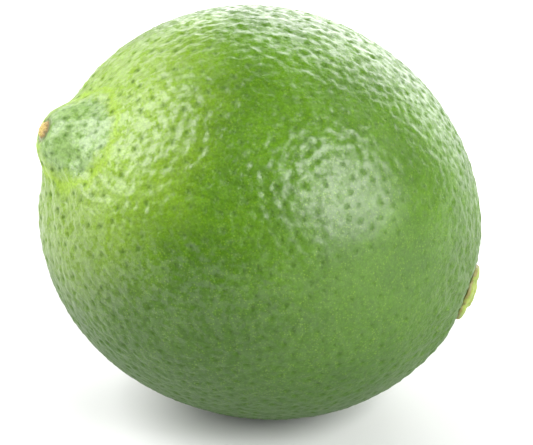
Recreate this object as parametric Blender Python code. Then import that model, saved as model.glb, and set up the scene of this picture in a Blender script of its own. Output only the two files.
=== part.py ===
"""A lime: one grown fruit with a nipple, lying on its side, and the green calyx at its stem end.

Metres, +Z up. The fruit is modelled about its own axis, with its centre at the origin and +Z
towards the nipple, and is then tipped over so that it rests on a small flat spot at Z = 0.
"""

import math
import random

import bmesh
import bpy
from mathutils import Euler, Matrix, Vector

# Fruit body
BELLY_RADIUS = 0.0271
NIPPLE_END = 0.0283
STEM_END = 0.0303
FULLNESS = 2.03
SKEW = 0.00036
SKEW_TURN = math.radians(200)
THREE_SIDED = 0.00042
THREE_TURN = math.radians(20)

# Nipple at the flower end, with the dry scar that the style left on its tip
NIPPLE_HEIGHT = 0.0032
NIPPLE_SPREAD = 0.153
NIPPLE_STEEPNESS = 4.0
NIPPLE_LEAN = math.radians(10.9)
NIPPLE_TURN = math.radians(-66.8)
SCAR_RADIUS = 0.00115
SCAR_DOME = 0.0004
SCAR_TOP = 0.4 * SCAR_RADIUS
SCAR_FOOT = 1.2 * SCAR_RADIUS
SCAR_GROOVE = 0.00012
SCAR_GROOVE_REACH = 1.3 * SCAR_RADIUS
SCAR_GROOVE_WIDTH = 0.0005

# Furrows that run off the nipple, and the finer ones round the stem end. Each wave that makes
# them uneven has a strength, a number of turns and a start
FURROW_COUNT = 11
FURROW_WAVES = ((1.1, 2, 0.7), (0.6, 3, 0.0))
FURROW_DEPTH = 0.00035
FURROW_CENTRE = 0.30
FURROW_SPREAD = 0.14
STEM_FURROW_COUNT = 16
STEM_FURROW_WAVES = ((1.3, 2, 0.0), (0.9, 3, 1.9))
STEM_FURROW_DEPTH = 0.00022
STEM_FURROW_CENTRE = 0.30
STEM_FURROW_SPREAD = 0.16
STEM_DIMPLE = 0.0004
STEM_DIMPLE_SPREAD = 0.15
STEM_RIM = 0.00022
STEM_RIM_CENTRE = 0.21
STEM_RIM_SPREAD = 0.08
STEM_LEAN = math.radians(10.4)
STEM_TURN = math.radians(-62.3)

# Oil gland pits in the rind, fewer and wider than the real ones
PIT_COUNT = 800
PIT_RADIUS = 0.00078
PIT_DEPTH = 0.00036
PIT_UNEVENNESS = 0.22
PIT_WANDER = 0.20
RELAX_ROUNDS = 3
CROWDING = 0.78
CROWDING_SPREAD = 0.45
SEED = 11

# Angles off the nipple, the stem end and the flat spot between which the pits reach full depth
PITS_OFF_TIP = (0.16, 0.48)
PITS_OFF_STEM = (0.14, 0.28)
PITS_OFF_FLAT = (0.20, 0.30)

# How it lies
TILT = math.radians(24.5)
FLAT_DEPTH = 0.0005
FLAT_SNAP = 0.0001
CUT_TOLERANCE = 1e-7

# Calyx
CALYX_RADIUS = 0.0039
CALYX_WAVES = ((0.05, 1, 1.1), (0.04, 2, 0.0))
CALYX_LOBES = 5
LOBE_TURN = math.radians(-23)
LOBE_NOTCH = 0.24
LOBE_ROUNDNESS = 0.6
CALYX_THICKNESS = 0.0009
CALYX_EDGE = 0.0003
EDGE_FULLNESS = 5
CREASE_DEPTH = 0.00045
CREASE_SHARPNESS = 1.5
CREASE_START = 0.35
CREASE_END = 0.8
STALK_SCAR_RADIUS = 0.00125
STALK_RIM = 0.00035
STALK_RIM_WIDTH = 0.0004
STALK_HOLLOW = 0.0004
STALK_HOLLOW_WIDTH = 0.7 * STALK_SCAR_RADIUS
CALYX_GAP = 0.0003
CALYX_SEGMENTS = 50
CALYX_RINGS = 18
SURFACE_ROUNDS = 6

FRUIT_SHARP = math.radians(50)
CALYX_SHARP = math.radians(60)
TINY = 1e-6

NIPPLE_AXIS = Vector((
    math.sin(NIPPLE_LEAN) * math.cos(NIPPLE_TURN),
    math.sin(NIPPLE_LEAN) * math.sin(NIPPLE_TURN),
    math.cos(NIPPLE_LEAN),
))
STEM_AXIS = Vector((
    math.sin(STEM_LEAN) * math.cos(STEM_TURN),
    math.sin(STEM_LEAN) * math.sin(STEM_TURN),
    -math.cos(STEM_LEAN),
))


def clear_scene():
    for item in list(bpy.data.objects):
        bpy.data.objects.remove(item, do_unlink=True)


def make_collection(name):
    collection = bpy.data.collections.new(name)
    bpy.context.scene.collection.children.link(collection)
    return collection


def make_material(name, colour, roughness, metallic=0.0):
    material = bpy.data.materials.new(name)
    material.use_nodes = True
    shader = material.node_tree.nodes["Principled BSDF"]
    shader.inputs["Base Color"].default_value = (*colour, 1.0)
    shader.inputs["Roughness"].default_value = roughness
    shader.inputs["Metallic"].default_value = metallic
    return material


def bell(value, centre, spread):
    """A smooth hump, 1 at its centre."""
    return math.exp(-((value - centre) / spread) ** 2)


def rise(value, start, end):
    """0 below start, 1 above end, smooth between them."""
    share = min(max((value - start) / (end - start), 0.0), 1.0)
    return share * share * (3.0 - 2.0 * share)


def waves(turn, parts):
    """The sum of a few waves round an axis."""
    return sum(strength * math.sin(count * turn + start) for strength, count, start in parts)


def body_radius(direction):
    """Distance from the centre to the smooth body, without its nipple."""
    along = direction.z
    across = math.hypot(direction.x, direction.y)
    turn = math.atan2(direction.y, direction.x)
    half_length = NIPPLE_END if along > 0 else STEM_END
    egg = (abs(along) / half_length) ** FULLNESS + (across / BELLY_RADIUS) ** FULLNESS
    radius = egg ** (-1.0 / FULLNESS)
    radius += SKEW * along * across * math.cos(turn - SKEW_TURN)
    radius += THREE_SIDED * across ** 3 * math.cos(3.0 * (turn - THREE_TURN))
    return radius


def polar(direction, axis):
    """A direction's angle off an axis, and its turn about it."""
    side = axis.orthogonal().normalized()
    turn = math.atan2(direction.dot(axis.cross(side)), direction.dot(side))
    return direction.angle(axis), turn


def nipple_relief(direction):
    """How far the nipple, its furrows and the scar on its tip stand off the body."""
    angle, turn = polar(direction, NIPPLE_AXIS)
    height = NIPPLE_HEIGHT / (1.0 + (angle / NIPPLE_SPREAD) ** NIPPLE_STEEPNESS)
    furrow = 0.5 + 0.5 * math.cos(FURROW_COUNT * turn + waves(turn, FURROW_WAVES))
    height -= FURROW_DEPTH * furrow * bell(angle, FURROW_CENTRE, FURROW_SPREAD)

    reach = angle * (NIPPLE_END + NIPPLE_HEIGHT)
    height += SCAR_DOME * (1.0 - rise(reach, SCAR_TOP, SCAR_FOOT))
    height -= SCAR_GROOVE * bell(reach, SCAR_GROOVE_REACH, SCAR_GROOVE_WIDTH)
    return height


def stem_relief(direction):
    """The shallow dimple under the calyx, its raised rim and the furrows round it."""
    angle, turn = polar(direction, STEM_AXIS)
    furrow = 0.5 * math.cos(STEM_FURROW_COUNT * turn + waves(turn, STEM_FURROW_WAVES))
    height = STEM_RIM * bell(angle, STEM_RIM_CENTRE, STEM_RIM_SPREAD)
    height -= STEM_FURROW_DEPTH * furrow * bell(angle, STEM_FURROW_CENTRE, STEM_FURROW_SPREAD)
    return height - STEM_DIMPLE * bell(angle, 0.0, STEM_DIMPLE_SPREAD)


def rind_radius(direction):
    """Distance from the centre to the rind, without its pits."""
    return body_radius(direction) + nipple_relief(direction) + stem_relief(direction)


def pit_share(direction, down):
    """1 where the rind is pitted, 0 on the nipple's tip, under the calyx and on the flat spot."""
    off_tip = rise(direction.angle(NIPPLE_AXIS), *PITS_OFF_TIP)
    off_stem = rise(direction.angle(STEM_AXIS), *PITS_OFF_STEM)
    off_flat = rise(direction.angle(down), *PITS_OFF_FLAT)
    return off_tip * off_stem * off_flat


def scattered_directions(count, draw):
    """Evenly spread directions on a golden-angle spiral, each moved a little at random."""
    golden_angle = math.pi * (3.0 - math.sqrt(5.0))
    step = math.sqrt(4.0 * math.pi / count)
    directions = []
    for index in range(count):
        along = 1.0 - (2.0 * index + 1.0) / count
        across = math.sqrt(1.0 - along * along)
        turn = index * golden_angle
        spot = Vector((across * math.cos(turn), across * math.sin(turn), along))
        push = Vector((draw.gauss(0, 1), draw.gauss(0, 1), draw.gauss(0, 1)))
        directions.append((spot + push * step * PIT_WANDER).normalized())
    return directions


def crowd_to_nipple(direction):
    """Draws the directions near +Z together, which makes the mesh finer on the nipple."""
    angle = direction.angle(Vector((0, 0, 1)))
    if angle < TINY:
        return direction
    new_angle = angle * (1.0 - CROWDING * bell(angle, 0.0, CROWDING_SPREAD))
    across = Vector((direction.x, direction.y, 0)).normalized()
    return across * math.sin(new_angle) + Vector((0, 0, math.cos(new_angle)))


def relax(mesh):
    """Moves each point to the middle of its neighbours, still on the unit sphere."""
    middles = []
    for vert in mesh.verts:
        neighbours = [edge.other_vert(vert).co for edge in vert.link_edges]
        middles.append(sum(neighbours, Vector()).normalized())
    for vert, middle in zip(mesh.verts, middles):
        vert.co = (vert.co + middle).normalized()


def wrap(points):
    """A closed triangle mesh over points on the unit sphere."""
    mesh = bmesh.new()
    for point in points:
        mesh.verts.new(point)
    bmesh.ops.convex_hull(mesh, input=mesh.verts[:])
    return mesh


def make_pitted_sphere(draw):
    """A unit sphere covered with pit rims, and the point in the middle of each rim."""
    mesh = wrap(scattered_directions(PIT_COUNT, draw))
    for _ in range(RELAX_ROUNDS):
        relax(mesh)
        points = [vert.co.copy() for vert in mesh.verts]
        mesh.free()
        mesh = wrap(points)

    beveled = bmesh.ops.bevel(
        mesh,
        geom=mesh.verts[:],
        offset=PIT_RADIUS / BELLY_RADIUS,
        offset_type="OFFSET",
        segments=1,
        profile=0.5,
        affect="VERTICES",
    )
    rims = beveled["faces"]
    for rim in rims:
        middle = rim.calc_center_median()
        size = 1.0 + PIT_UNEVENNESS * draw.uniform(-1, 1)
        for vert in rim.verts:
            vert.co = middle + size * (vert.co - middle)
    land = [face for face in mesh.faces if face not in set(rims)]
    bmesh.ops.triangulate(mesh, faces=land)
    poked = bmesh.ops.poke(mesh, faces=rims)
    return mesh, set(poked["verts"])


def cut_flat_spot(mesh, down):
    """Cuts the fruit off flat, FLAT_DEPTH above its lowest point, and closes the cut."""
    lowest = max(vert.co.dot(down) for vert in mesh.verts)
    cut_height = lowest - FLAT_DEPTH
    for vert in mesh.verts:
        below_cut = vert.co.dot(down) - cut_height
        if abs(below_cut) < FLAT_SNAP:
            vert.co -= down * below_cut
    cut = bmesh.ops.bisect_plane(
        mesh,
        geom=mesh.verts[:] + mesh.edges[:] + mesh.faces[:],
        dist=CUT_TOLERANCE,
        plane_co=down * cut_height,
        plane_no=down,
        clear_outer=True,
    )
    rim = [item for item in cut["geom_cut"] if isinstance(item, bmesh.types.BMEdge)]
    bmesh.ops.edgenet_fill(mesh, edges=rim)
    return cut_height


def finish_mesh(mesh, name, sharp_angle):
    data = bpy.data.meshes.new(name)
    mesh.to_mesh(data)
    mesh.free()
    data.shade_smooth()
    data.set_sharp_from_angle(angle=sharp_angle)
    return data


def make_fruit(down):
    """The fruit's mesh about its own axis, and how far its flat spot is from the centre."""
    draw = random.Random(SEED)
    mesh, pits = make_pitted_sphere(draw)
    to_nipple = Vector((0, 0, 1)).rotation_difference(NIPPLE_AXIS).to_matrix()
    for vert in mesh.verts:
        direction = to_nipple @ crowd_to_nipple(vert.co.normalized())
        radius = rind_radius(direction)
        if vert in pits:
            unevenness = 1.0 + PIT_UNEVENNESS * draw.uniform(-1, 1)
            radius -= PIT_DEPTH * unevenness * pit_share(direction, down)
        vert.co = direction * radius
    rest_height = cut_flat_spot(mesh, down)
    bmesh.ops.recalc_face_normals(mesh, faces=mesh.faces[:])
    return finish_mesh(mesh, "fruit", FRUIT_SHARP), rest_height


def stem_surface(across_x, across_y, to_stem):
    """How far out along the stem axis the rind is, at a distance off that axis."""
    reach_squared = across_x ** 2 + across_y ** 2
    out = STEM_END
    for _ in range(SURFACE_ROUNDS):
        radius = rind_radius((to_stem @ Vector((across_x, across_y, out))).normalized())
        out = math.sqrt(radius ** 2 - reach_squared)
    return out


def lobe_swell(turn):
    """1 along the middle of a lobe, 0 in the notch between two."""
    return abs(math.cos(0.5 * CALYX_LOBES * (turn - LOBE_TURN)))


def calyx_reach(share, turn):
    """Distance from the calyx's middle at a share of the way to its edge, notched between lobes."""
    notch = LOBE_NOTCH * (1.0 - lobe_swell(turn) ** LOBE_ROUNDNESS) * share ** 2
    return CALYX_RADIUS * (1.0 + waves(turn, CALYX_WAVES)) * share * (1.0 - notch)


def calyx_top(share, reach, turn):
    """Height of the calyx's upper face over its lower one, from the middle (0) to the edge (1)."""
    edge = math.sqrt(max(1.0 - share ** EDGE_FULLNESS, 0.0))
    crease = (1.0 - lobe_swell(turn)) ** CREASE_SHARPNESS
    height = CALYX_THICKNESS - CREASE_DEPTH * crease * rise(share, CREASE_START, CREASE_END)
    height += STALK_RIM * bell(reach, STALK_SCAR_RADIUS, STALK_RIM_WIDTH)
    height -= STALK_HOLLOW * bell(reach, 0.0, STALK_HOLLOW_WIDTH)
    return height * edge


def make_calyx():
    """The calyx's mesh, in the fruit's own frame, lying CALYX_GAP off the rind."""
    to_stem = Vector((0, 0, 1)).rotation_difference(STEM_AXIS).to_matrix()
    mesh = bmesh.new()
    bmesh.ops.create_uvsphere(
        mesh,
        u_segments=CALYX_SEGMENTS,
        v_segments=CALYX_RINGS,
        radius=1.0,
    )
    bmesh.ops.triangulate(mesh, faces=mesh.faces[:])
    for vert in mesh.verts:
        turn = math.atan2(vert.co.y, vert.co.x)
        share = min(math.acos(min(abs(vert.co.z), 1.0)) / (0.5 * math.pi), 1.0)
        reach = calyx_reach(share, turn)
        across_x = reach * math.cos(turn)
        across_y = reach * math.sin(turn)
        out = stem_surface(across_x, across_y, to_stem) + CALYX_GAP
        if vert.co.z >= -TINY:
            out += CALYX_EDGE + calyx_top(share, reach, turn)
        vert.co = to_stem @ Vector((across_x, across_y, out))
    return finish_mesh(mesh, "calyx", CALYX_SHARP)


def add_object(name, data, material, collection, parent):
    item = bpy.data.objects.new(name, data)
    data.materials.append(material)
    collection.objects.link(item)
    item.parent = parent
    return item


def middle_of(objects, pose):
    """Middle of the objects' box in X and Y, once they are turned by the pose."""
    corners = [pose @ vert.co for item in objects for vert in item.data.vertices]
    across_x = [corner.x for corner in corners]
    across_y = [corner.y for corner in corners]
    return 0.5 * (min(across_x) + max(across_x)), 0.5 * (min(across_y) + max(across_y))


def main():
    clear_scene()
    lime = make_collection("lime")
    pose = Euler((0.0, TILT - 0.5 * math.pi, 0.0)).to_matrix()
    down = pose.transposed() @ Vector((0, 0, -1))

    rest_pose = bpy.data.objects.new("rest_pose", None)
    lime.objects.link(rest_pose)
    rind = make_material("rind", (0.10, 0.27, 0.025), 0.32)
    sepals = make_material("sepals", (0.20, 0.30, 0.05), 0.55)

    fruit_data, rest_height = make_fruit(down)
    fruit = add_object("fruit", fruit_data, rind, lime, rest_pose)
    calyx = add_object("calyx", make_calyx(), sepals, lime, rest_pose)

    middle_x, middle_y = middle_of([fruit, calyx], pose)
    rest_pose.matrix_world = Matrix.Translation((-middle_x, -middle_y, rest_height)) @ pose.to_4x4()
    bpy.context.view_layer.update()


main()
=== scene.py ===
"""A lime on a plain pale floor: its pitted rind, the dry scar on its nipple and its lobed calyx.

Metres, +Z up. The fruit's own axis runs from its centre to its nipple. Directions from the centre
are worked out about that axis first, and the finished surface is then tipped over to lie on its
flat spot. Run it as a script: main() calls one operator for each piece and one for the stage.
"""

import math

import bmesh
import bpy
from bpy.props import FloatProperty, FloatVectorProperty, IntProperty, PointerProperty
from bpy.types import Operator, Panel, PropertyGroup
from mathutils import Euler, Matrix, Vector


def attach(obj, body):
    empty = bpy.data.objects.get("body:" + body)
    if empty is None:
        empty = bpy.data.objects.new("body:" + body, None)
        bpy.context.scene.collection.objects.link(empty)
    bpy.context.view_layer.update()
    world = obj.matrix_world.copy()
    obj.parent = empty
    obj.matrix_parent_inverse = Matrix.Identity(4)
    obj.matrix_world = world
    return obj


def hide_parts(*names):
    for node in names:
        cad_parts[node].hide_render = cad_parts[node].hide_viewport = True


bl_info = {
    "name": "Lime",
    "version": (1, 0, 0),
    "blender": (4, 5, 0),
    "location": "View3D > Sidebar > Lime",
    "description": "Makes a lime with a pitted rind and a calyx, and a plain studio round it",
    "category": "Object",
}

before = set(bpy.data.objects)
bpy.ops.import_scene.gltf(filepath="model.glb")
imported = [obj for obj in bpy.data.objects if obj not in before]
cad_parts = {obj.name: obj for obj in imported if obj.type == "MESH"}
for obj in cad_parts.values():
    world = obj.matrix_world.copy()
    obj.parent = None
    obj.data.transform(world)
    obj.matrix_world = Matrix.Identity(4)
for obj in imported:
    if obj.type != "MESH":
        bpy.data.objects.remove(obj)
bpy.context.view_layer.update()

# Fruit body, as in the solids
BELLY_RADIUS = 0.0271
NIPPLE_END = 0.0283
STEM_END = 0.0303
FULLNESS = 2.03
SKEW = 0.00036
SKEW_TURN = math.radians(200)
THREE_SIDED = 0.00042
THREE_TURN = math.radians(20)
TILT = math.radians(24.5)
BODY_CENTRE = Vector((-0.00097, 0.00035, 0.02701))

# Nipple, furrows and stem end, as in the solids
NIPPLE_HEIGHT = 0.0032
NIPPLE_SPREAD = 0.153
NIPPLE_STEEPNESS = 4.0
NIPPLE_LEAN = math.radians(10.9)
NIPPLE_TURN = math.radians(-66.8)
FURROW_COUNT = 11
FURROW_WAVES = ((1.1, 2, 0.7), (0.6, 3, 0.0))
FURROW_CENTRE = 0.30
FURROW_SPREAD = 0.14
STEM_LEAN = math.radians(10.4)
STEM_TURN = math.radians(-62.3)
STEM_FURROW_COUNT = 16
STEM_FURROW_WAVES = ((1.3, 2, 0.0), (0.9, 3, 1.9))
STEM_FURROW_CENTRE = 0.30
STEM_FURROW_SPREAD = 0.16
STEM_DIMPLE = 0.0004
STEM_DIMPLE_SPREAD = 0.15
STEM_RIM = 0.00022
STEM_RIM_CENTRE = 0.21
STEM_RIM_SPREAD = 0.08
CALYX_LOBES = 5
LOBE_TURN = math.radians(-23)

# Finer relief, which only this scene has
NIPPLE_CREASE_DEPTH = 0.00050
STEM_CREASE_DEPTH = 0.00065
SCAR_EDGE_RAGGEDNESS = 0.0006
SCAR_KNOB = 0.0004
SCAR_CRUMB = 0.0004
SCAR_GROOVE = 0.00016
CALYX_GAP = 0.00003
CALYX_RIM_THICKNESS = 0.00015
CALYX_CREASE_DEPTH = 0.00045
CALYX_RIPPLE = 0.00008
STALK_RIM = 0.00035
STALK_RIM_WIDTH = 0.0004
STALK_HOLLOW = 0.0004
TINY = 1e-6

# Pits, as the rind's colour and its fine relief show them
PIT_RING_WIDTH = 0.00033
PIT_POINT = (0.00005, 0.00023)
PINHOLE_WIDTH = 0.00026
PINHOLE_DEPTH = 0.00019

# Fine relief of the rind's material
GRAIN_HEIGHT = 0.000012
RIPPLE_HEIGHT = 0.00009
SWELLING_HEIGHT = 0.00016
CORK_HEIGHT = 0.00025
WRINKLE_HEIGHT = 0.00050

# Where the rind is smooth, low down and on one cheek
CHEEK_SMOOTHNESS = 0.9
LOW_SIDE = (0.9, 1.9)
LOW_SIDE_RELIEF = 0.65
SEED = 3

# Colours that a user would seldom change
CORK_DARK = (0.13, 0.060, 0.050)
# The scar's pale flecks are partly pale cork and partly painted glints
CORK_PALE_AND_GLINT = (0.80, 0.60, 0.33)
SCAR_GROOVE_OLIVE = (0.10, 0.13, 0.015)
SCAR_RIM_PURPLE = (0.13, 0.06, 0.05)
LOBE_PALE = (0.30, 0.36, 0.050)
LOBE_SPOT = (0.09, 0.14, 0.012)
DRY_TAN = (0.26, 0.18, 0.08)
# Painted shade in the narrow gap between the lobes and the rind
LOBE_UNDERSIDE_SHADE = (0.035, 0.03, 0.012)
FLOOR_TONES = ((0.80, 0.80, 0.80), (0.83, 0.83, 0.83))

# Studio: each light's direction is to the right, up and towards the camera
FLOOR_RADIUS = 1.5
PICTURE_SHIFT = (0.00172, -0.00117)
LIGHTS = (
    # name, direction, distance, size, power
    ("key light", (-0.76, 0.58, 0.23), 0.9, (0.60, 0.95), 12.2),
    ("side light", (0.71, 0.27, 0.65), 0.9, (0.70, 0.66), 12.6),
    ("back light", (0.38, 0.56, -0.73), 0.9, (1.15, 0.38), 5.6),
    ("top light", (0.30, 0.86, -0.40), 1.0, (0.7, 0.5), 4.8),
    ("far light", (-0.45, 0.70, -0.55), 0.9, (0.7, 0.4), 2.0),
)


def lean(angle, turn, sign):
    """A unit vector leaning off the fruit's own axis."""
    across = math.sin(angle)
    return Vector((across * math.cos(turn), across * math.sin(turn), sign * math.cos(angle)))


NIPPLE_AXIS = lean(NIPPLE_LEAN, NIPPLE_TURN, 1.0)
STEM_AXIS = lean(STEM_LEAN, STEM_TURN, -1.0)
CHEEK_AXIS = lean(math.radians(62.0), math.radians(-63.0), -1.0)
CHEEK_SPREAD = 0.62
DULL_AXIS = lean(math.radians(19.8), math.radians(-62.0), 1.0)
LAY_DOWN = Euler((0.0, TILT - 0.5 * math.pi, 0.0)).to_matrix()
TO_ROW = Matrix.Translation(BODY_CENTRE) @ LAY_DOWN.to_4x4()
DOWN_AXIS = LAY_DOWN.transposed() @ Vector((0.0, 0.0, -1.0))


class RindSettings(PropertyGroup):
    """Sizes and colours of the rind."""

    grid: IntProperty(
        name="Grid",
        description="Quads along each side of the six patches that make up the skin",
        default=128,
        min=16,
        max=160,
    )
    crowding: FloatProperty(
        name="Crowding",
        description="How much finer the skin and its pits get towards the nipple",
        default=0.55,
        min=0.0,
        max=0.9,
    )
    pit_spacing: FloatProperty(
        name="Pit spacing",
        description="Least distance between two oil gland pits on the belly",
        default=0.00165,
        unit="LENGTH",
    )
    pit_depth: FloatProperty(
        name="Pit depth",
        description="Depth of the dish round a pit",
        default=0.00011,
        unit="LENGTH",
    )
    pit_width: FloatProperty(
        name="Pit width",
        description="Reach of the dish round a pit",
        default=0.00052,
        unit="LENGTH",
    )
    peel_depth: FloatProperty(
        name="Peel depth",
        description="Height of the uneven swellings between the pits",
        default=0.00060,
        unit="LENGTH",
    )
    peel_size: FloatProperty(
        name="Peel size",
        description="Width of one swelling between the pits",
        default=0.00105,
        unit="LENGTH",
    )
    furrow_depth: FloatProperty(
        name="Furrow depth",
        description="Depth of the furrows that run off the nipple",
        default=0.00035,
        unit="LENGTH",
    )
    stem_furrow_depth: FloatProperty(
        name="Stem furrow depth",
        description="Depth of the furrows round the stem end",
        default=0.00022,
        unit="LENGTH",
    )
    scar_radius: FloatProperty(
        name="Scar radius",
        description="Radius of the dry scar on the tip of the nipple",
        default=0.00115,
        unit="LENGTH",
    )
    deep_green: FloatVectorProperty(
        name="Deep green",
        description="Colour of the darker patches of the rind",
        default=(0.054, 0.138, 0.003),
        size=3,
        subtype="COLOR",
    )
    fresh_green: FloatVectorProperty(
        name="Fresh green",
        description="Colour of the lighter patches of the rind",
        default=(0.084, 0.198, 0.005),
        size=3,
        subtype="COLOR",
    )
    yellow_green: FloatVectorProperty(
        name="Yellow green",
        description="Colour of the paler rind round the nipple",
        default=(0.310, 0.490, 0.028),
        size=3,
        subtype="COLOR",
    )
    nipple_green: FloatVectorProperty(
        name="Nipple green",
        description="Colour of the dull green nipple",
        default=(0.235, 0.380, 0.115),
        size=3,
        subtype="COLOR",
    )
    # This green is also painted shade: the rind is mixed towards it on the side that it lies on
    pit_and_low_side_shade_green: FloatVectorProperty(
        name="Pit green",
        description="Colour at the bottom of a pit, and of the rind towards its underside",
        default=(0.030, 0.085, 0.006),
        size=3,
        subtype="COLOR",
    )
    scar_tan: FloatVectorProperty(
        name="Scar tan",
        description="Colour of the dry scar",
        default=(0.66, 0.49, 0.13),
        size=3,
        subtype="COLOR",
    )


class CalyxSettings(PropertyGroup):
    """Sizes and colours of the calyx."""

    radius: FloatProperty(
        name="Radius",
        description="Distance from the middle of the calyx to the tip of a lobe",
        default=0.0039,
        unit="LENGTH",
    )
    thickness: FloatProperty(
        name="Thickness",
        description="Thickness of the lobes",
        default=0.0009,
        unit="LENGTH",
    )
    notch: FloatProperty(
        name="Notch",
        description="Depth of the notches between the lobes, as a share of the radius",
        default=0.24,
        subtype="FACTOR",
        min=0.0,
        max=1.0,
    )
    stalk_radius: FloatProperty(
        name="Stalk radius",
        description="Radius of the scar where the stalk broke off",
        default=0.00125,
        unit="LENGTH",
    )
    lobe_green: FloatVectorProperty(
        name="Lobe green",
        description="Colour of the lobes",
        default=(0.19, 0.28, 0.028),
        size=3,
        subtype="COLOR",
    )
    dry_brown: FloatVectorProperty(
        name="Dry brown",
        description="Colour of the dry edges and of the broken stalk",
        default=(0.11, 0.07, 0.025),
        size=3,
        subtype="COLOR",
    )


class StageSettings(PropertyGroup):
    """The camera and the surround."""

    azimuth: FloatProperty(
        name="Azimuth",
        description="Turn of the camera about the vertical, from looking along +Y",
        default=math.radians(-2.42),
        subtype="ANGLE",
    )
    elevation: FloatProperty(
        name="Elevation",
        description="How far the camera looks down",
        default=math.radians(25.0),
        subtype="ANGLE",
    )
    distance: FloatProperty(
        name="Distance",
        description="Distance from the camera to the fruit",
        default=0.4,
        unit="LENGTH",
    )
    picture_width: FloatProperty(
        name="Picture width",
        description="Width of what the camera sees at the fruit",
        default=0.07054,
        unit="LENGTH",
    )
    surround: FloatProperty(
        name="Surround",
        description="Brightness of the pale surround",
        default=0.08,
        min=0.0,
    )


class Graph:
    """Adds nodes to one node tree."""

    def __init__(self, tree):
        self.tree = tree

    def add(self, kind, settings=None, inputs=None, output=0):
        """Adds a node, sets it, feeds its sockets and returns one of its outputs, if it has any."""
        node = self.tree.nodes.new(kind)
        for name, value in (settings or {}).items():
            setattr(node, name, value)
        for key, value in (inputs or {}).items():
            self.feed(self.pick(node.inputs, key), value)
        return Wire(self, self.pick(node.outputs, output)) if node.outputs else None

    def pick(self, sockets, key):
        """A socket by its place, or the one in use that has the name."""
        if isinstance(key, int):
            return sockets[key]
        return next(socket for socket in sockets if socket.enabled and socket.name == key)

    def feed(self, socket, value):
        """Links a wire to a socket, or sets the socket's own value."""
        if isinstance(value, Wire):
            self.tree.links.new(value.socket, socket)
        elif isinstance(value, (tuple, Vector)) and socket.type == "RGBA" and len(value) == 3:
            socket.default_value = (*value, 1.0)
        else:
            socket.default_value = value

    def colour_ramp(self, factor, stops):
        """A ramp through (position, colour) stops."""
        wire = self.add("ShaderNodeValToRGB", inputs={0: factor})
        elements = wire.node.color_ramp.elements
        while len(elements) < len(stops):
            elements.new(0.5)
        for element, (position, colour) in zip(elements, stops):
            element.position = position
            element.color = (*colour, 1.0)
        return wire

    def mix(self, factor, first, second, blend="MIX"):
        """Mixes two colours."""
        settings = {"data_type": "RGBA", "blend_type": blend}
        return self.add("ShaderNodeMix", settings, {0: factor, 6: first, 7: second}, 2)


class Wire:
    """An output socket. Arithmetic on it adds Math or Vector Math nodes."""

    def __init__(self, graph, socket):
        self.graph = graph
        self.socket = socket
        self.node = socket.node

    def other(self, key):
        """Another output of the same node."""
        return Wire(self.graph, self.graph.pick(self.node.outputs, key))

    def math(self, operation, *values):
        inputs = {index: value for index, value in enumerate((self, *values))}
        return self.graph.add("ShaderNodeMath", {"operation": operation}, inputs)

    def vector(self, operation, *values, output=0):
        inputs = {index: value for index, value in enumerate((self, *values))}
        return self.graph.add("ShaderNodeVectorMath", {"operation": operation}, inputs, output)

    def scaled(self, factor):
        return self.graph.add("ShaderNodeVectorMath", {"operation": "SCALE"}, {0: self, 3: factor})

    def __add__(self, value):
        return self.math("ADD", value)

    def __radd__(self, value):
        return self.math("ADD", value)

    def __sub__(self, value):
        return self.math("SUBTRACT", value)

    def __rsub__(self, value):
        return (self * -1.0) + value

    def __mul__(self, value):
        return self.math("MULTIPLY", value)

    def __rmul__(self, value):
        return self.math("MULTIPLY", value)

    def __truediv__(self, value):
        return self.math("DIVIDE", value)

    def __pow__(self, value):
        return self.math("POWER", value)

    def sin(self):
        return self.math("SINE")

    def cos(self):
        return self.math("COSINE")

    def absolute(self):
        return self.math("ABSOLUTE")

    def arctan2(self, value):
        return self.math("ARCTAN2", value)

    def above(self, value):
        return self.math("GREATER_THAN", value)

    def bell(self, centre, spread):
        """A smooth hump, 1 where the value is at the centre."""
        off = (self - centre) / spread
        return (off * off * -1.0).math("EXPONENT")

    def rise(self, start, end):
        """0 at start, 1 at end, smooth between them and level outside."""
        settings = {"interpolation_type": "SMOOTHSTEP"}
        return self.graph.add("ShaderNodeMapRange", settings, {0: self, 1: start, 2: end})

    def dot(self, other):
        return self.vector("DOT_PRODUCT", other, output="Value")

    def length(self):
        return self.vector("LENGTH", output="Value")

    def unit(self):
        return self.vector("NORMALIZE")

    def parts(self):
        """The three components of a vector."""
        split = self.graph.add("ShaderNodeSeparateXYZ", inputs={0: self})
        return split, split.other("Y"), split.other("Z")


def join_xyz(graph, across_x, across_y, up):
    return graph.add("ShaderNodeCombineXYZ", inputs={0: across_x, 1: across_y, 2: up})


def noise(graph, at, scale, detail=2.0, roughness=0.5):
    """Soft noise round zero, about -0.5 to 0.5."""
    settings = {"noise_dimensions": "3D"}
    sockets = {"Vector": at, "Scale": scale, "Detail": detail, "Roughness": roughness}
    return graph.add("ShaderNodeTexNoise", settings, sockets) - 0.5


def polar(direction, axis):
    """A direction's angle off an axis, and its turn about it."""
    side = axis.orthogonal().normalized()
    across = direction.vector("CROSS_PRODUCT", axis).length()
    angle = across.arctan2(direction.dot(axis))
    turn = direction.dot(axis.cross(side)).arctan2(direction.dot(side))
    return angle, turn


def body_radius(direction):
    """Distance from the centre to the smooth body, without its nipple."""
    across_x, across_y, along = direction.parts()
    across = join_xyz(direction.graph, across_x, across_y, 0.0).length()
    turn = across_y.arctan2(across_x)
    half_length = along.above(0.0) * (NIPPLE_END - STEM_END) + STEM_END
    egg = (along.absolute() / half_length) ** FULLNESS + (across / BELLY_RADIUS) ** FULLNESS
    radius = egg ** (-1.0 / FULLNESS)
    radius = radius + along * across * (turn - SKEW_TURN).cos() * SKEW
    return radius + (across ** 3.0) * ((turn - THREE_TURN) * 3.0).cos() * THREE_SIDED


def waves(turn, parts):
    """Sine waves round an axis, each with its height, its count and its shift."""
    return sum((turn * float(count) + shift).sin() * height for height, count, shift in parts)


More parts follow.
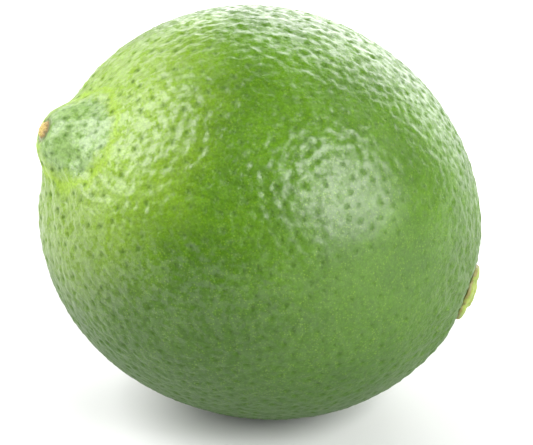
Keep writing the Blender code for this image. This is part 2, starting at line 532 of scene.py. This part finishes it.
def relief_share(off_cheek, upper):
    """1 on coarse rind, less on the smooth cheek and on the low side."""
    cheek = 1.0 - off_cheek.bell(0.0, CHEEK_SPREAD) * CHEEK_SMOOTHNESS
    return cheek * (upper * (1.0 - LOW_SIDE_RELIEF) + LOW_SIDE_RELIEF)


def nipple_relief(direction, furrow_depth, scar_radius):
    """The nipple, its furrows and the corky scar on its tip."""
    graph = direction.graph
    angle, turn = polar(direction, NIPPLE_AXIS)
    height = ((angle / NIPPLE_SPREAD) ** NIPPLE_STEEPNESS + 1.0) ** -1.0 * NIPPLE_HEIGHT

    furrow = (turn * FURROW_COUNT + waves(turn, FURROW_WAVES)).cos() * 0.5 + 0.5
    height = height - furrow * angle.bell(FURROW_CENTRE, FURROW_SPREAD) * furrow_depth

    # Fine creases that run off the tip, and get lost in the shoulder
    spread = join_xyz(graph, turn.cos(), turn.sin(), angle * 1.1)
    creases = noise(graph, spread, 9.0, 3.0, 0.6)
    height = height + creases * angle.bell(0.34, 0.22) * NIPPLE_CREASE_DEPTH

    # The scar: a low knob with a ragged edge, in a shallow groove
    reach = angle * (NIPPLE_END + NIPPLE_HEIGHT)
    ragged = reach + noise(graph, direction, 60.0) * SCAR_EDGE_RAGGEDNESS
    knob = 1.0 - (ragged / scar_radius).rise(0.55, 1.05)
    crumb = noise(graph, direction, 130.0, 3.0) * knob * SCAR_CRUMB
    groove = (ragged / scar_radius).bell(1.25, 0.30) * SCAR_GROOVE
    return height + knob * SCAR_KNOB + crumb - groove


def stem_relief(direction, furrow_depth):
    """The shallow dimple under the calyx and the furrows round it."""
    graph = direction.graph
    angle, turn = polar(direction, STEM_AXIS)
    furrow = (turn * STEM_FURROW_COUNT + waves(turn, STEM_FURROW_WAVES)).cos() * 0.5
    furrows = furrow * angle.bell(STEM_FURROW_CENTRE, STEM_FURROW_SPREAD) * furrow_depth
    spread = join_xyz(graph, turn.cos(), turn.sin(), angle * 1.6)
    creases = noise(graph, spread, 8.0, 2.0, 0.6) * angle.bell(0.34, 0.24) * STEM_CREASE_DEPTH
    rim = angle.bell(STEM_RIM_CENTRE, STEM_RIM_SPREAD) * STEM_RIM
    return creases + rim - furrows - angle.bell(0.0, STEM_DIMPLE_SPREAD) * STEM_DIMPLE


def place_on_rind(sphere_point, settings):
    """Turns a point of the unit sphere into one of the smooth rind, before its pits."""
    graph = sphere_point.graph
    across_x, across_y, along = sphere_point.parts()
    across = join_xyz(graph, across_x, across_y, 0.0)
    angle = across.length().arctan2(along)
    drawn_in = 1.0 - angle.bell(0.0, 0.45) * settings["Crowding"]
    new_angle = angle * drawn_in
    side = across.unit().scaled(new_angle.sin())
    leaning = side.vector("ADD", join_xyz(graph, 0.0, 0.0, new_angle.cos()))
    turn_axis = Vector((0, 0, 1)).cross(NIPPLE_AXIS).normalized()
    direction = graph.add(
        "ShaderNodeVectorRotate",
        {"rotation_type": "AXIS_ANGLE"},
        {"Vector": leaning, "Axis": turn_axis, "Angle": NIPPLE_LEAN},
    )
    radius = body_radius(direction)
    radius = radius + nipple_relief(direction, settings["Furrow depth"], settings["Scar radius"])
    radius = radius + stem_relief(direction, settings["Stem furrow depth"])
    return direction.scaled(radius)


def rind_tree(material):
    """Geometry Nodes for the rind: a rounded cube, the fruit's form, its pits and its swellings."""
    tree = bpy.data.node_groups.new("rind", "GeometryNodeTree")
    interface = tree.interface
    interface.new_socket(name="Skin", in_out="OUTPUT", socket_type="NodeSocketGeometry")
    interface.new_socket(name="Grid", in_out="INPUT", socket_type="NodeSocketInt")
    for name in ("Crowding", "Pit spacing", "Pit depth", "Pit width", "Peel depth", "Peel size",
                 "Furrow depth", "Stem furrow depth", "Scar radius"):
        interface.new_socket(name=name, in_out="INPUT", socket_type="NodeSocketFloat")
    interface.new_socket(name="Seed", in_out="INPUT", socket_type="NodeSocketInt")

    graph = Graph(tree)
    entry = graph.add("NodeGroupInput")
    settings = {socket.name: entry.other(socket.name) for socket in entry.node.outputs[:-1]}

    # A cube of even quads, rounded so that they stay even on the sphere
    corners = settings["Grid"] + 1.0
    cube = graph.add(
        "GeometryNodeMeshCube",
        inputs={"Size": (2.0, 2.0, 2.0), "Vertices X": corners, "Vertices Y": corners,
                "Vertices Z": corners},
    )
    here = graph.add("GeometryNodeInputPosition")
    rounded = here.scaled(0.25 * math.pi).vector("TANGENT").unit()
    sphere = graph.add("GeometryNodeSetPosition", inputs={"Geometry": cube, "Position": rounded})

    # Pits: points scattered on the sphere, then set down on the rind
    scattered = graph.add(
        "GeometryNodeDistributePointsOnFaces",
        {"distribute_method": "POISSON"},
        {"Mesh": sphere, "Distance Min": settings["Pit spacing"] / BELLY_RADIUS,
         "Density Max": 4000.0, "Seed": settings["Seed"]},
    )
    ball_point = graph.add("GeometryNodeInputPosition")
    pits = graph.add(
        "GeometryNodeSetPosition",
        inputs={"Geometry": scattered, "Position": place_on_rind(ball_point.unit(), settings)},
    )
    nearest = graph.add(
        "GeometryNodeSampleNearest",
        {"domain": "POINT"},
        {"Geometry": scattered, "Sample Position": ball_point},
    )
    captured = graph.add(
        "GeometryNodeCaptureAttribute",
        {"domain": "POINT"},
        {"Geometry": sphere},
    )
    captured.node.capture_items.new("INT", "Pit number")
    graph.feed(captured.node.inputs["Pit number"], nearest)
    numbered = Wire(graph, captured.node.outputs["Geometry"])
    number = Wire(graph, captured.node.outputs["Pit number"])

    skin = graph.add(
        "GeometryNodeSetPosition",
        inputs={"Geometry": numbered, "Position": place_on_rind(ball_point, settings)},
    )

    where = graph.add("GeometryNodeInputPosition")
    pit_place = graph.add(
        "GeometryNodeSampleIndex",
        {"data_type": "FLOAT_VECTOR", "domain": "POINT"},
        {"Geometry": pits, "Value": where, "Index": number},
    )
    pit_size = graph.add(
        "FunctionNodeRandomValue",
        {"data_type": "FLOAT"},
        {"Min": 0.45, "Max": 1.40, "ID": number, "Seed": settings["Seed"]},
        1,
    )
    pit_offset = where.vector("SUBTRACT", pit_place)
    reach = pit_offset.length() / (settings["Pit width"] * (pit_size * 0.5 + 0.5))
    outward = where.unit()
    off_nipple, _ = polar(outward, NIPPLE_AXIS)
    off_stem, _ = polar(outward, STEM_AXIS)
    pitted = off_nipple.rise(0.06, 0.42) * off_stem.rise(0.14, 0.24)

    # Swellings between the pits
    swellings = noise(graph, where, settings["Peel size"] ** -1.0, 2.0, 0.6)
    off_cheek, _ = polar(outward, CHEEK_AXIS)
    off_down, _ = polar(outward, DOWN_AXIS)
    off_smooth = relief_share(off_cheek, off_down.rise(*LOW_SIDE))
    coarseness = (off_nipple.rise(0.1, 0.6) * 0.7 + 0.3) * off_smooth
    peel = swellings * settings["Peel depth"] * coarseness
    dish = reach.bell(0.0, 1.0) * settings["Pit depth"] * pit_size * pitted * off_smooth
    lift = outward.scaled(peel - dish)
    relief = graph.add("GeometryNodeSetPosition", inputs={"Geometry": skin, "Offset": lift})
    marked = graph.add(
        "GeometryNodeStoreNamedAttribute",
        {"data_type": "FLOAT_VECTOR", "domain": "POINT"},
        {"Geometry": relief, "Name": "pit_offset", "Value": pit_offset},
    )
    marked = graph.add(
        "GeometryNodeStoreNamedAttribute",
        {"data_type": "FLOAT", "domain": "POINT"},
        {"Geometry": marked, "Name": "pit_gap", "Value": pit_offset.dot(pit_offset)},
    )
    marked = graph.add(
        "GeometryNodeStoreNamedAttribute",
        {"data_type": "FLOAT", "domain": "POINT"},
        {"Geometry": marked, "Name": "pit_size", "Value": pit_size},
    )

    # Tipped over on its side, and flat where it rests
    laid = graph.add(
        "GeometryNodeTransform",
        inputs={"Geometry": marked, "Translation": BODY_CENTRE,
                "Rotation": (0.0, TILT - 0.5 * math.pi, 0.0)},
    )
    lying = graph.add("GeometryNodeInputPosition")
    floor_x, floor_y, height = lying.parts()
    resting = join_xyz(graph, floor_x, floor_y, height.math("MAXIMUM", 0.0))
    rested = graph.add("GeometryNodeSetPosition", inputs={"Geometry": laid, "Position": resting})
    smooth = graph.add("GeometryNodeSetShadeSmooth", inputs={"Geometry": rested})
    real = graph.add("GeometryNodeRealizeInstances", inputs={"Geometry": smooth})
    coated = graph.add("GeometryNodeSetMaterial", inputs={"Geometry": real, "Material": material})
    graph.add("NodeGroupOutput", inputs={"Skin": coated})
    return tree


def grow(name, tree, settings):
    """Evaluates a node tree with its inputs set, and returns the plain mesh object."""
    piece = bpy.data.objects.new(name, bpy.data.meshes.new(name))
    bpy.context.scene.collection.objects.link(piece)
    modifier = piece.modifiers.new(name, "NODES")
    modifier.node_group = tree
    for socket in tree.interface.items_tree:
        if socket.in_out == "INPUT":
            modifier[socket.identifier] = settings[socket.name]
    graph = bpy.context.evaluated_depsgraph_get()
    finished = bpy.data.meshes.new_from_object(
        piece.evaluated_get(graph), preserve_all_data_layers=True, depsgraph=graph
    )
    piece.modifiers.remove(modifier)
    piece.data = finished
    finished.name = name
    return piece


def new_material(name):
    material = bpy.data.materials.new(name)
    material.use_nodes = True
    graph = Graph(material.node_tree)
    return material, graph, material.node_tree.nodes["Principled BSDF"]


def row_direction(axis):
    """A direction about the fruit's own axis, as it lies in the row."""
    return LAY_DOWN @ axis


def rind_material(look):
    """Waxy green rind: patches of green, fine specks, dark pits, a dull nipple, a dry scar partly
    flecked with painted glints, and painted shade towards the side that it lies on.
    """
    material, graph, shader = new_material("lime rind")
    here = graph.add("ShaderNodeTexCoord", output="Object")
    outward = here.vector("SUBTRACT", BODY_CENTRE).unit()
    off_nipple, round_nipple = polar(outward, row_direction(NIPPLE_AXIS))
    off_stem, round_stem = polar(outward, row_direction(STEM_AXIS))
    pit_offset = graph.add("ShaderNodeAttribute", {"attribute_name": "pit_offset"}, output="Vector")
    pit_gap = graph.add("ShaderNodeAttribute", {"attribute_name": "pit_gap"}, output="Fac")
    pit_size = graph.add("ShaderNodeAttribute", {"attribute_name": "pit_size"}, output="Fac")

    # The offset turns round halfway between two pits, where only the squared distance holds
    squared = pit_offset.dot(pit_offset).math("MAXIMUM", pit_gap - 0.8e-7)
    ragged_edge = noise(graph, here, 1500.0, 3.0, 0.6) * 2.4 + 1.0
    pit_reach = squared.math("SQRT") * ragged_edge / (pit_size * 0.5 + 0.5)

    # Broad patches and blotches
    broad = noise(graph, here, 95.0, 2.0) + 0.5
    blotch = noise(graph, here, 520.0, 3.0, 0.6) + 0.5
    patch = (broad * 0.6 + blotch * 0.4).rise(0.36, 0.64)
    colour = graph.mix(patch, tuple(look.deep_green), tuple(look.fresh_green))

    # Paler, yellower rind round the nipple and down the side that it leans to
    wander = noise(graph, here, 160.0, 3.0) * 0.35
    paler = 1.0 - (off_nipple + wander).rise(0.40, 1.05)
    colour = graph.mix(paler * 0.66, colour, tuple(look.yellow_green))
    near_stem = 1.0 - (off_stem + wander).rise(0.15, 0.75)
    colour = graph.mix(near_stem * 0.10, colour, tuple(look.yellow_green))

    # Painted shade: the rind is mixed towards a deep green on the side that it lies on, less so
    # higher up
    off_down, _ = polar(outward, row_direction(DOWN_AXIS))
    upper = off_down.rise(*LOW_SIDE)
    above_painted_shade = off_down.rise(0.8, 2.3)
    colour = graph.mix((1.0 - above_painted_shade) * 0.88, colour, tuple(look.pit_and_low_side_shade_green))

    # The nipple is a duller, blotched green on one side, edged by a bright line
    off_dull, _ = polar(outward, row_direction(DULL_AXIS))
    ragged_patch = off_dull + noise(graph, here, 420.0, 3.0, 0.6) * 0.14
    dull = 1.0 - ragged_patch.rise(0.15, 0.20)
    smudge = (noise(graph, here, 700.0, 3.0, 0.6) + 0.5).rise(0.50, 0.62)
    nipple = graph.mix(smudge * 0.75, tuple(look.nipple_green), tuple(look.fresh_green))
    bright_line = ragged_patch.bell(0.232, 0.024)
    colour = graph.mix(bright_line * 0.75, colour, tuple(look.yellow_green))
    colour = graph.mix(dull * 0.9, colour, nipple)

    # Fine pale specks all over
    cells = graph.add("ShaderNodeTexVoronoi", inputs={"Vector": here, "Scale": 3000.0})
    speck = 1.0 - cells.rise(0.08, 0.46)
    strength = (noise(graph, here, 800.0, 2.0) + 0.5).rise(0.25, 0.70)
    colour = graph.mix(speck * strength * 0.26, colour, tuple(look.yellow_green))
    grain = noise(graph, here, 2600.0, 2.0, 0.7) + 0.5
    shade = graph.colour_ramp(grain, ((0.30, (0.80,) * 3), (0.70, (1.22,) * 3)))
    colour = graph.mix(1.0, colour, shade, "MULTIPLY")

    # Pits: a dark point in a ring of deeper green
    ring = pit_reach.bell(0.0, PIT_RING_WIDTH)
    point = 1.0 - pit_reach.rise(*PIT_POINT)
    bare = off_nipple.rise(0.07, 0.12) * off_stem.rise(0.12, 0.16)
    off_cheek, _ = polar(outward, row_direction(CHEEK_AXIS))
    coarseness = relief_share(off_cheek, upper)
    darkness = bare * pit_size.rise(0.5, 1.2) * (coarseness * 0.4 + 0.6)
    colour = graph.mix(ring * darkness * 0.50, colour, tuple(look.deep_green))
    colour = graph.mix(point * darkness * 0.36, colour, tuple(look.pit_and_low_side_shade_green))

    # The scar: tan cork with pale flecks that are partly painted glints, and a purplish rim, in an
    # olive groove
    reach = off_nipple * (NIPPLE_END + NIPPLE_HEIGHT) / look.scar_radius
    ragged = reach + noise(graph, here, 1900.0, 3.0) * 0.55
    cork = noise(graph, here, 3600.0, 3.0, 0.7) + 0.5
    tan = graph.colour_ramp(cork, (
        (0.32, CORK_DARK),
        (0.44, tuple(look.scar_tan)),
        (0.68, CORK_PALE_AND_GLINT),
    ))
    rim = ragged.bell(0.95, 0.16)
    groove = ragged.bell(1.30, 0.22)
    on_scar = 1.0 - ragged.rise(0.92, 1.12)
    colour = graph.mix(groove * 0.8, colour, SCAR_GROOVE_OLIVE)
    colour = graph.mix(on_scar, colour, tan)
    colour = graph.mix(rim * 0.55, colour, SCAR_RIM_PURPLE)

    # Fine unevenness and the narrow bottoms of the pits, too small for the mesh
    fine = noise(graph, here, 5200.0, 2.0, 0.6) * GRAIN_HEIGHT
    ripples = noise(graph, here, 2300.0, 2.0, 0.5) * coarseness * RIPPLE_HEIGHT
    swellings = graph.add(
        "ShaderNodeTexVoronoi",
        {"feature": "SMOOTH_F1"},
        {"Vector": here, "Scale": 1050.0, "Smoothness": 0.45},
    )
    ripples = ripples - swellings * swellings * coarseness * SWELLING_HEIGHT
    pinhole = pit_reach.bell(0.0, PINHOLE_WIDTH) * darkness * PINHOLE_DEPTH
    cork_relief = cork * on_scar * CORK_HEIGHT

    # Fine wrinkles that run off the nipple and the calyx
    off_end = off_nipple.math("MINIMUM", off_stem)
    round_end = off_nipple.math("LESS_THAN", off_stem)
    end_turn = round_nipple * round_end + round_stem * (1.0 - round_end)
    wrinkle_at = join_xyz(graph, end_turn.cos(), end_turn.sin(), off_end * 2.2)
    wrinkle_scale = round_end * 12.0 + 14.0
    broken = (noise(graph, here, 330.0, 2.0) + 0.5).rise(0.38, 0.62)
    gaps = broken * (1.0 - round_end) * 0.6 + 0.4
    wrinkle_height = off_end.bell(0.38, 0.24) * gaps * WRINKLE_HEIGHT
    wrinkles = noise(graph, wrinkle_at, wrinkle_scale, 2.0, 0.6) * wrinkle_height
    height = fine + ripples + wrinkles - pinhole + cork_relief
    bump = graph.add(
        "ShaderNodeBump",
        inputs={"Strength": 1.0, "Distance": 1.0, "Height": height},
    )
    rough = noise(graph, here, 1500.0, 2.0) * 0.16 + 0.48
    rough = rough - upper * 0.10 + ring * 0.20 + on_scar * 0.20

    # Wax that lies in ragged patches, fuller towards the nipple, thinner on the smooth cheek,
    # and not in the pits
    fuller = 1.0 - off_nipple.rise(0.45, 1.05)
    waxy = (noise(graph, here, 820.0, 4.0, 0.68) + fuller * 0.06 + 0.5).rise(0.45, 0.55)
    wax = (waxy * coarseness + (1.0 - coarseness) * 0.55) * (1.0 - ring * darkness * 0.9)
    wax = wax * (off_stem.rise(0.2, 1.0) * 0.5 + 0.5) * (upper * 0.8 + 0.2)
    wax = wax * (1.0 - bright_line * 0.8)

    graph.feed(shader.inputs["Base Color"], colour)
    graph.feed(shader.inputs["Roughness"], rough)
    graph.feed(shader.inputs["Normal"], bump)
    graph.feed(shader.inputs["Coat Weight"], wax * (1.0 - on_scar) * 0.75)
    shader.inputs["IOR"].default_value = 1.47
    shader.inputs["Specular IOR Level"].default_value = 0.35
    shader.inputs["Specular Tint"].default_value = (0.95, 1.0, 0.86, 1.0)
    shader.inputs["Coat Roughness"].default_value = 0.30
    shader.inputs["Coat IOR"].default_value = 1.60
    shader.inputs["Subsurface Weight"].default_value = 0.12
    shader.inputs["Subsurface Radius"].default_value = (0.6, 1.0, 0.25)
    shader.inputs["Subsurface Scale"].default_value = 0.0012
    return material


def calyx_material(look):
    """Matt yellow-green lobes that dry to brown at their edges, with a woody stalk scar and painted
    shade on their undersides.
    """
    material, graph, shader = new_material("lime calyx")
    here = graph.add("ShaderNodeTexCoord", output="Object")
    share = graph.add("ShaderNodeAttribute", {"attribute_name": "share"}, output="Fac")
    side = graph.add("ShaderNodeAttribute", {"attribute_name": "underside"}, output="Fac")
    mottle = noise(graph, here, 1500.0, 3.0, 0.6) + 0.5
    fibre = noise(graph, here, 4200.0, 2.0, 0.6) + 0.5
    colour = graph.mix(mottle.rise(0.3, 0.7), tuple(look.lobe_green), LOBE_PALE)
    spots = (noise(graph, here, 2500.0, 2.0) + 0.5).rise(0.60, 0.72)
    colour = graph.mix(spots * 0.45, colour, LOBE_SPOT)
    edge = (share + (mottle - 0.5) * 0.30).rise(0.93, 1.0)
    wood = 1.0 - (share + (fibre - 0.5) * 0.12).rise(0.26, 0.34)
    brown = graph.mix(fibre, tuple(look.dry_brown), DRY_TAN)
    colour = graph.mix(edge * 0.70, colour, brown)
    colour = graph.mix(wood * 0.9, colour, brown)
    # Painted shade: the lobes' undersides, in the gap over the rind, are darkened nearly to black
    colour = graph.mix(side * 0.8, colour, LOBE_UNDERSIDE_SHADE)
    height = mottle * 0.00012 + fibre * 0.00004
    bump = graph.add(
        "ShaderNodeBump",
        inputs={"Strength": 0.8, "Distance": 1.0, "Height": height},
    )
    graph.feed(shader.inputs["Base Color"], colour)
    graph.feed(shader.inputs["Roughness"], mottle * 0.25 + 0.35)
    graph.feed(shader.inputs["Normal"], bump)
    shader.inputs["Subsurface Weight"].default_value = 0.1
    shader.inputs["Subsurface Radius"].default_value = (0.6, 1.0, 0.25)
    shader.inputs["Subsurface Scale"].default_value = 0.001
    return material


def floor_material():
    """Pale, faintly uneven paper."""
    material, graph, shader = new_material("pale floor")
    here = graph.add("ShaderNodeTexCoord", output="Object")
    cloudy = noise(graph, here, 6.0, 2.0) + 0.5
    colour = graph.mix(cloudy, *FLOOR_TONES)
    graph.feed(shader.inputs["Base Color"], colour)
    graph.feed(shader.inputs["Roughness"], cloudy * 0.1 + 0.75)
    shader.inputs["Specular IOR Level"].default_value = 0.2
    return material


def smooth_bell(value, centre, spread):
    return math.exp(-((value - centre) / spread) ** 2)


def smooth_rise(value, start, end):
    share = min(max((value - start) / (end - start), 0.0), 1.0)
    return share * share * (3.0 - 2.0 * share)


def rind_height_finder(skin):
    """A function that gives how far out the finished rind is, along the calyx's own axis."""
    to_stem = Vector((0, 0, 1)).rotation_difference(STEM_AXIS).to_matrix()
    to_row = TO_ROW @ to_stem.to_4x4()
    outward = (to_row.to_3x3() @ Vector((0, 0, 1))).normalized()
    reach = 2.0 * STEM_END

    def height_at(across_x, across_y):
        start = to_row @ Vector((across_x, across_y, reach))
        hit, place, _, _ = skin.ray_cast(start, -outward)
        if not hit:
            raise RuntimeError("the calyx reaches past the edge of the rind")
        return reach - (place - start).length

    return height_at, to_row


def lobe_swell(turn):
    """1 along the middle of a lobe, 0 in the notch between two."""
    return abs(math.cos(0.5 * CALYX_LOBES * (turn - LOBE_TURN)))


def calyx_reach(look, share, turn):
    """Distance from the calyx's middle at a share of the way to its edge, notched between lobes."""
    lobe = lobe_swell(turn) ** 0.6
    longer = 1.0 + 0.05 * math.sin(turn + 1.1) + 0.04 * math.sin(2.0 * turn)
    longer += 0.03 * math.sin(5.0 * turn + 0.4) + 0.015 * math.sin(13.0 * turn)
    notch = look.notch * (1.0 - lobe) * share ** 2
    return look.radius * longer * share * (1.0 - notch)


def calyx_top(look, share, reach, turn):
    """Height of the calyx's upper face over its lower one."""
    edge = math.sqrt(max(1.0 - share ** 5, 0.0))
    crease = (1.0 - lobe_swell(turn)) ** 1.5
    height = look.thickness - CALYX_CREASE_DEPTH * crease * smooth_rise(share, 0.35, 0.8)
    height += CALYX_RIPPLE * math.sin(19.0 * turn + 3.0 * share) * share ** 2
    height += STALK_RIM * smooth_bell(reach, look.stalk_radius, STALK_RIM_WIDTH)
    height -= STALK_HOLLOW * smooth_bell(reach, 0.0, 0.7 * look.stalk_radius)
    return height * edge


def calyx_mesh(look, skin):
    """The lobed button: a flattened ball whose lower face follows the rind."""
    height_at, to_row = rind_height_finder(skin)
    mesh = bmesh.new()
    bmesh.ops.create_uvsphere(mesh, u_segments=160, v_segments=96, radius=1.0)
    share_layer = mesh.verts.layers.float.new("share")
    # Marks the lobes' undersides, which the material darkens as painted shade
    underside_shade_layer = mesh.verts.layers.float.new("underside")
    for vert in mesh.verts:
        turn = math.atan2(vert.co.y, vert.co.x)
        share = min(math.acos(min(abs(vert.co.z), 1.0)) / (0.5 * math.pi), 1.0)
        reach = calyx_reach(look, share, turn)
        across_x = reach * math.cos(turn)
        across_y = reach * math.sin(turn)
        out = height_at(across_x, across_y) + CALYX_GAP
        vert[share_layer] = share
        vert[underside_shade_layer] = 1.0 if vert.co.z < -TINY else 0.0
        if vert.co.z >= -TINY:
            out += CALYX_RIM_THICKNESS + calyx_top(look, share, reach, turn)
        vert.co = to_row @ Vector((across_x, across_y, out))
    data = bpy.data.meshes.new("calyx_lobes")
    mesh.to_mesh(data)
    mesh.free()
    data.shade_smooth()
    return data


def aim(item, target):
    """Turns a camera or a light towards a point."""
    item.rotation_euler = (target - item.location).to_track_quat("-Z", "Y").to_euler()


def link(item):
    bpy.context.scene.collection.objects.link(item)
    return item


class LIME_OT_make_rind(Operator):
    """Make the pitted rind over the fruit"""

    bl_idname = "lime.make_rind"
    bl_label = "Make the rind"

    def execute(self, context):
        look = context.scene.lime_rind
        material = rind_material(look)
        tree = rind_tree(material)
        skin = grow("rind_skin", tree, {
            "Grid": look.grid,
            "Crowding": look.crowding,
            "Pit spacing": look.pit_spacing,
            "Pit depth": look.pit_depth,
            "Pit width": look.pit_width,
            "Peel depth": look.peel_depth,
            "Peel size": look.peel_size,
            "Furrow depth": look.furrow_depth,
            "Stem furrow depth": look.stem_furrow_depth,
            "Scar radius": look.scar_radius,
            "Seed": SEED,
        })
        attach(skin, "root")
        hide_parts("fruit")
        return {"FINISHED"}


class LIME_OT_make_calyx(Operator):
    """Make the lobed calyx at the stem end"""

    bl_idname = "lime.make_calyx"
    bl_label = "Make the calyx"

    def execute(self, context):
        look = context.scene.lime_calyx
        skin = bpy.data.objects["rind_skin"]
        calyx = link(bpy.data.objects.new("calyx_lobes", calyx_mesh(look, skin)))
        calyx.data.materials.append(calyx_material(look))
        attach(calyx, "root")
        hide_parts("calyx")
        return {"FINISHED"}


class LIME_OT_dress_stage(Operator):
    """Make the floor, the lights, the pale surround and the camera"""

    bl_idname = "lime.dress_stage"
    bl_label = "Dress the stage"

    def execute(self, context):
        stage = context.scene.lime_stage
        self.make_surround(context.scene, stage)
        self.make_floor()
        self.make_lights(stage)
        self.make_camera(context.scene, stage)
        return {"FINISHED"}

    def make_surround(self, scene, stage):
        world = bpy.data.worlds.new("pale surround")
        world.use_nodes = True
        background = world.node_tree.nodes["Background"]
        background.inputs["Color"].default_value = (1.0, 1.0, 1.0, 1.0)
        background.inputs["Strength"].default_value = stage.surround
        scene.world = world
        scene.view_settings.view_transform = "Standard"

    def make_floor(self):
        mesh = bmesh.new()
        bmesh.ops.create_circle(mesh, cap_ends=True, segments=96, radius=FLOOR_RADIUS)
        data = bpy.data.meshes.new("floor")
        mesh.to_mesh(data)
        mesh.free()
        floor = link(bpy.data.objects.new("floor", data))
        data.materials.append(floor_material())

    def view_axes(self, stage):
        """The camera's right, up and back directions."""
        turn = stage.azimuth
        tip = stage.elevation
        right = Vector((math.cos(turn), math.sin(turn), 0.0))
        back = Vector((
            math.sin(turn) * math.cos(tip),
            -math.cos(turn) * math.cos(tip),
            math.sin(tip),
        ))
        return right, back.cross(right), back

    def make_light(self, stage, name, towards, distance, size, power):
        """A soft rectangular light, placed by its direction as the camera sees it."""
        right, up, back = self.view_axes(stage)
        data = bpy.data.lights.new(name, "AREA")
        data.shape = "RECTANGLE"
        data.size = size[0]
        data.size_y = size[1]
        data.energy = power
        item = link(bpy.data.objects.new(name, data))
        direction = (right * towards[0] + up * towards[1] + back * towards[2]).normalized()
        item.location = BODY_CENTRE + direction * distance
        aim(item, BODY_CENTRE)

    def make_lights(self, stage):
        for light in LIGHTS:
            self.make_light(stage, *light)

    def make_camera(self, scene, stage):
        right, up, back = self.view_axes(stage)
        middle = BODY_CENTRE + right * PICTURE_SHIFT[0] + up * PICTURE_SHIFT[1]
        data = bpy.data.cameras.new("camera")
        data.sensor_width = 36.0
        data.lens = data.sensor_width * stage.distance / stage.picture_width
        data.clip_start = 0.01
        camera = link(bpy.data.objects.new("camera", data))
        camera.location = middle + back * stage.distance
        aim(camera, middle)
        scene.camera = camera


class LIME_PT_panel(Panel):
    """The lime's operators and settings"""

    bl_label = "Lime"
    bl_idname = "LIME_PT_panel"
    bl_space_type = "VIEW_3D"
    bl_region_type = "UI"
    bl_category = "Lime"

    def draw(self, context):
        layout = self.layout
        sections = (
            ("lime.make_rind", context.scene.lime_rind),
            ("lime.make_calyx", context.scene.lime_calyx),
            ("lime.dress_stage", context.scene.lime_stage),
        )
        for operator, settings in sections:
            box = layout.box()
            box.operator(operator)
            for name in settings.__annotations__:
                box.prop(settings, name)


CLASSES = (
    RindSettings,
    CalyxSettings,
    StageSettings,
    LIME_OT_make_rind,
    LIME_OT_make_calyx,
    LIME_OT_dress_stage,
    LIME_PT_panel,
)


def register():
    for item in CLASSES:
        bpy.utils.register_class(item)
    bpy.types.Scene.lime_rind = PointerProperty(type=RindSettings)
    bpy.types.Scene.lime_calyx = PointerProperty(type=CalyxSettings)
    bpy.types.Scene.lime_stage = PointerProperty(type=StageSettings)


def unregister():
    del bpy.types.Scene.lime_stage
    del bpy.types.Scene.lime_calyx
    del bpy.types.Scene.lime_rind
    for item in reversed(CLASSES):
        bpy.utils.unregister_class(item)


def main():
    register()
    bpy.ops.lime.dress_stage()
    bpy.ops.lime.make_rind()
    bpy.ops.lime.make_calyx()


if __name__ == "__main__":
    main()
